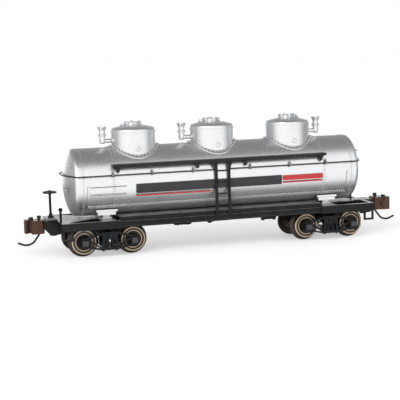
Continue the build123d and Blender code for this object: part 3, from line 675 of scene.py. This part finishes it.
def bogie_fittings(name, centre):
    """Nuts on the arch-bar bolts and a raised lid with its hinge on each journal box."""
    fittings, lids = Shell(), Shell()
    down = Vector((0, 0, -1))
    for side in SIDES:
        y = side * ARCH_BAR_Y
        for end in SIDES:
            fittings.hex_nut(Vector((centre + end * 1.4, y, 5.35)) * MM, UP, 0.26 * MM, 0.24 * MM)
            fittings.hex_nut(Vector((centre + end * 1.4, y, 1.5)) * MM, down, 0.26 * MM, 0.24 * MM)
            box_x = centre + end * HALF_WHEELBASE
            for shift in (-0.52, 0.52):
                fittings.hex_nut(Vector((box_x + shift, y, 4.28)) * MM, UP, 0.22 * MM, 0.24 * MM)
                fittings.hex_nut(Vector((box_x + shift, y, 2.1)) * MM, down, 0.22 * MM, 0.22 * MM)
            y0, y1 = sorted((side * 7.6, side * 7.7))
            lids.bar(Vector((box_x - 0.62, y0, 2.7)) * MM, Vector((box_x + 0.62, y1, 3.82)) * MM, 0.05 * MM)
            hinge = [Vector((box_x + dx, side * 7.62, 3.92)) * MM for dx in (-0.45, 0.45)]
            fittings.tube(hinge, 0.1 * MM)
            lids.rivet(Vector((box_x, side * 7.7, 3.2)) * MM, Vector((0, side, 0)), 0.18 * MM)
    # the lids take the lighter grey, painted light on the lit box fronts
    lids.piece("journal_lids_" + name, LID_LIT_GREY, name + "_bogie", "bogie_plastic")
    fittings.piece("bogie_fittings_" + name, BOGIE_BLACK, name + "_bogie", "bogie_plastic")


barrel_rivets()
dome_rivets()
markings()
for name in DOMES:
    dome_ring(name)
    hatch_nuts(name)
    valve_bolts(name)
for name, side in (("front", -1), ("rear", 1)):
    walkway_fittings(name, side)
    ladder_bolts(name, side)
for name, end in (("left", -1), ("right", 1)):
    head_fittings(name, end)
    bogie_fittings(name, end * BOGIE_X)
frame_rivets()
brake_fittings()


# ---- stage, light and camera ----
def stage():
    """Pale floor under the wheels, out past every view."""
    reach, count = 3.0, 48
    floor = Shell()
    floor.loft([ring(Vector((0, 0, z)), UP, reach, count) for z in (cad_lo.z - 2 * MM, cad_lo.z)])
    look = Look("floor_paint", 0.0, 0.7)
    look.colour(look.mix(look.noise(40 * MM), (0.86, 0.86, 0.86), (0.88, 0.88, 0.88)))
    look.shader.inputs["Emission Color"].default_value = (1, 1, 1, 1)
    look.shader.inputs["Emission Strength"].default_value = 0.45
    made = floor.build("floor", look.material)
    made.visible_glossy = False


CAMERA_TARGET = Vector((-3.07, 0, 9.88)) * MM
CAMERA_AZIMUTH = math.radians(15.80)
CAMERA_ELEVATION = math.radians(7.635)
CAMERA_ROLL = math.radians(-1.68)
CAMERA_DISTANCE = 260.15 * MM
CAMERA_LENS = 105.74
SENSOR = 36.0


def toward_camera():
    """Direction from the object to the camera."""
    level = math.cos(CAMERA_ELEVATION)
    return Vector((
        -math.sin(CAMERA_AZIMUTH) * level, -math.cos(CAMERA_AZIMUTH) * level, math.sin(CAMERA_ELEVATION),
    ))


def camera():
    back = toward_camera()
    right = UP.cross(back).normalized()
    up = back.cross(right)
    c, s = math.cos(CAMERA_ROLL), math.sin(CAMERA_ROLL)
    turn = Matrix((right * c + up * s, up * c - right * s, back)).transposed()
    data = bpy.data.cameras.new("camera")
    data.lens, data.sensor_width = CAMERA_LENS, SENSOR
    data.clip_start, data.clip_end = 0.01, 20
    made = bpy.data.objects.new("camera", data)
    made.matrix_world = Matrix.Translation(CAMERA_TARGET + back * CAMERA_DISTANCE) @ turn.to_4x4()
    bpy.context.scene.collection.objects.link(made)
    bpy.context.scene.camera = made


def world():
    """White surround for the picture; for light, broad soft panels in front, grey above and low down."""
    made = bpy.data.worlds.new("studio")
    bpy.context.scene.world = made
    made.use_nodes = True
    tree = made.node_tree
    tree.nodes.clear()

    def node(kind, **settings):
        new = tree.nodes.new(kind)
        for key, value in settings.items():
            setattr(new, key, value)
        return new

    def ramp(value, stops):
        new = node("ShaderNodeValToRGB")
        new.color_ramp.interpolation = "EASE"
        while len(new.color_ramp.elements) < len(stops):
            new.color_ramp.elements.new(0.5)
        for element, (where, level) in zip(new.color_ramp.elements, stops):
            element.position = where
            element.color = (level, level, level, 1)
        tree.links.new(value, new.inputs["Fac"])
        return new.outputs["Color"]

    def number(operation, a, b, c=None):
        new = node("ShaderNodeMath", operation=operation)
        for socket, value in zip(new.inputs, (a, b, c)):
            if isinstance(value, (int, float)):
                socket.default_value = value
            elif value is not None:
                tree.links.new(value, socket)
        return new.outputs[0]

    direction = node("ShaderNodeTexCoord").outputs["Generated"]
    parts = node("ShaderNodeSeparateXYZ")
    tree.links.new(direction, parts.inputs[0])
    front = node("ShaderNodeVectorMath", operation="DOT_PRODUCT")
    tree.links.new(direction, front.inputs[0])
    level = toward_camera()
    level.z = 0
    front.inputs[1].default_value = level.normalized()
    # 0..1 from behind the object to in front of it, and from below to above
    ahead = number("MULTIPLY_ADD", front.outputs["Value"], 0.5, 0.5)
    height = number("MULTIPLY_ADD", parts.outputs["Z"], 0.5, 0.5)
    panels = ramp(ahead, ((0.44, 0.0), (0.80, 1.0)))
    band = ramp(height, ((0.06, 0.0), (0.20, 1.0), (0.86, 1.0), (0.955, 0.0)))
    sides = ramp(height, ((0.0, 0.22), (0.42, 0.3), (0.5, 0.55), (0.6, 0.5), (0.7, 0.38), (1.0, 0.22)))
    behind = ramp(ahead, ((0.03, 1.0), (0.16, 0.0)))
    strip = ramp(height, ((0.42, 0.0), (0.47, 1.0), (0.58, 1.0), (0.66, 0.0)))
    front_level, strip_level = 1.35, 1.5
    surround = number("MULTIPLY_ADD", number("MULTIPLY", behind, strip), strip_level, sides)
    lit = number("MULTIPLY", panels, band)
    strength = number("MULTIPLY_ADD", lit, number("SUBTRACT", front_level, surround), surround)
    shown = node("ShaderNodeBackground")
    shown.inputs["Color"].default_value = (1, 1, 1, 1)
    studio = node("ShaderNodeBackground")
    tree.links.new(strength, studio.inputs["Strength"])
    studio.inputs["Color"].default_value = (1, 1, 1, 1)
    choose = node("ShaderNodeMixShader")
    tree.links.new(node("ShaderNodeLightPath").outputs["Is Camera Ray"], choose.inputs["Fac"])
    tree.links.new(studio.outputs[0], choose.inputs[1])
    tree.links.new(shown.outputs[0], choose.inputs[2])
    tree.links.new(choose.outputs[0], node("ShaderNodeOutputWorld").inputs["Surface"])


def softbox(name, place, size, power):
    """Square soft light aimed at the middle of the picture."""
    data = bpy.data.lights.new(name, "AREA")
    data.size = size
    data.energy = power
    made = bpy.data.objects.new(name, data)
    made.location = place
    made.rotation_mode = "QUATERNION"
    made.rotation_quaternion = (Vector(place) - CAMERA_TARGET).to_track_quat("Z", "Y")
    bpy.context.scene.collection.objects.link(made)


camera()
world()
stage()
softbox("front_left", (-0.55, -0.6, 0.45), 0.4, 2.0)
bpy.context.scene.view_settings.view_transform = "Standard"
